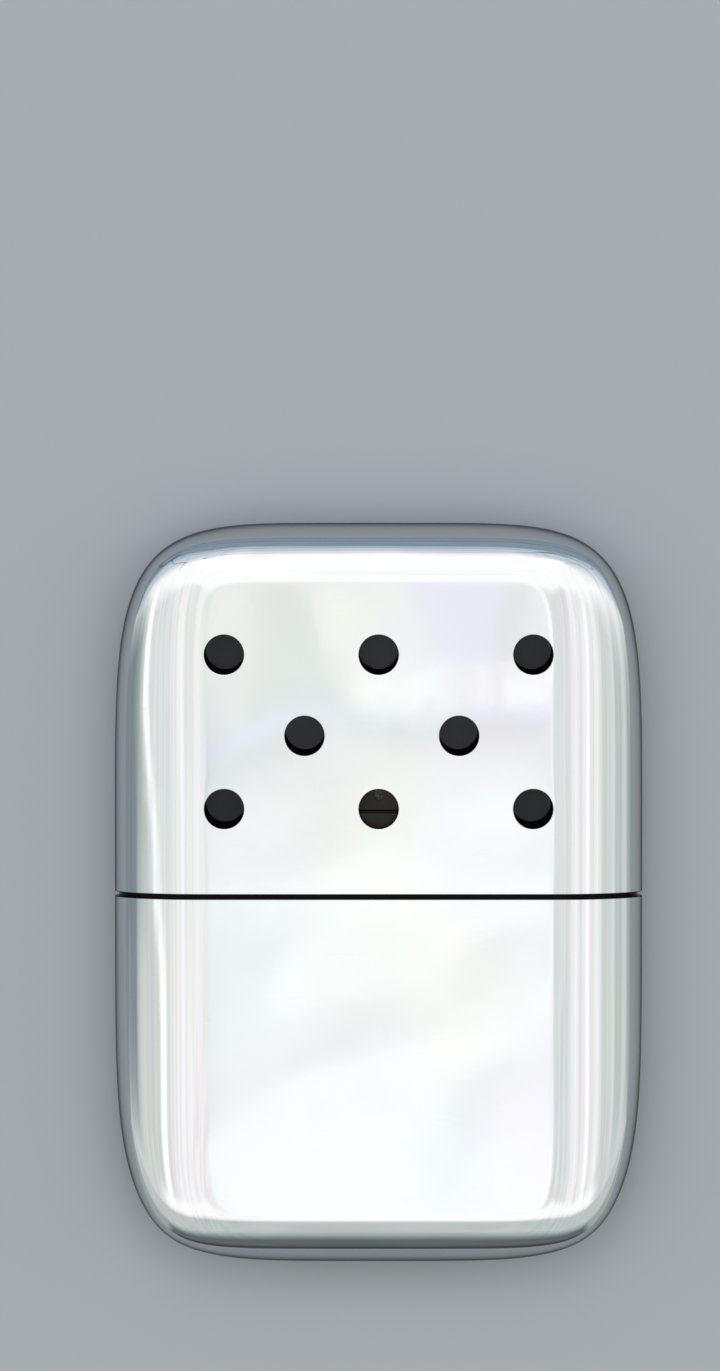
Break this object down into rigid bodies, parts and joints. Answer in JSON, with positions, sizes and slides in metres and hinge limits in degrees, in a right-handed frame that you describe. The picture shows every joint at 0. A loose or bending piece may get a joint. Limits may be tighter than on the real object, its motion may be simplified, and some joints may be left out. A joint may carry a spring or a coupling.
{
  "type": "catalytic hand warmer",
  "caption": "Pebble-shaped plated pocket warmer: a vented lid pulls off a cotton-filled fuel tank with an oblong filler neck and a lift-off catalytic burner.",
  "frame": {"origin": "centre of the flat back face that the case lies on, on the seam between lid and tank", "axes": "+X across the case to the right, +Y along it towards the lid's end, +Z out of the front face"},
  "size_m": [0.068, 0.0955, 0.013],
  "materials": {
    "plated_case": "polished plating on drawn brass",
    "plated_collar": "satin plating",
    "burner_metal": "heat-darkened nickel plating",
    "catalyst": "coated glass fibre",
    "felt": "pressed felt",
    "cotton": "loose cotton"
  },
  "bodies": {
    "tank": {"tank_shell": "plated_case", "tank_collar": "plated_collar", "tank_deck": "plated_collar", "filler_neck": "plated_collar", "wick_pad": "felt", "cotton_wadding": "cotton"},
    "lid": {"lid_shell": "plated_case"},
    "burner": {"burner_housing": "burner_metal", "burner_support": "burner_metal", "catalyst_mat": "catalyst", "burner_grille": "burner_metal"}
  },
  "joints": [
    {"name": "lid_slide", "type": "slide", "parent": "tank", "child": "lid", "axis": [0, 1, 0], "range_m": [0, 0.05]},
    {"name": "burner_slide", "type": "slide", "parent": "tank", "child": "burner", "axis": [0, 1, 0], "range_m": [0, 0.014]}
  ]
}
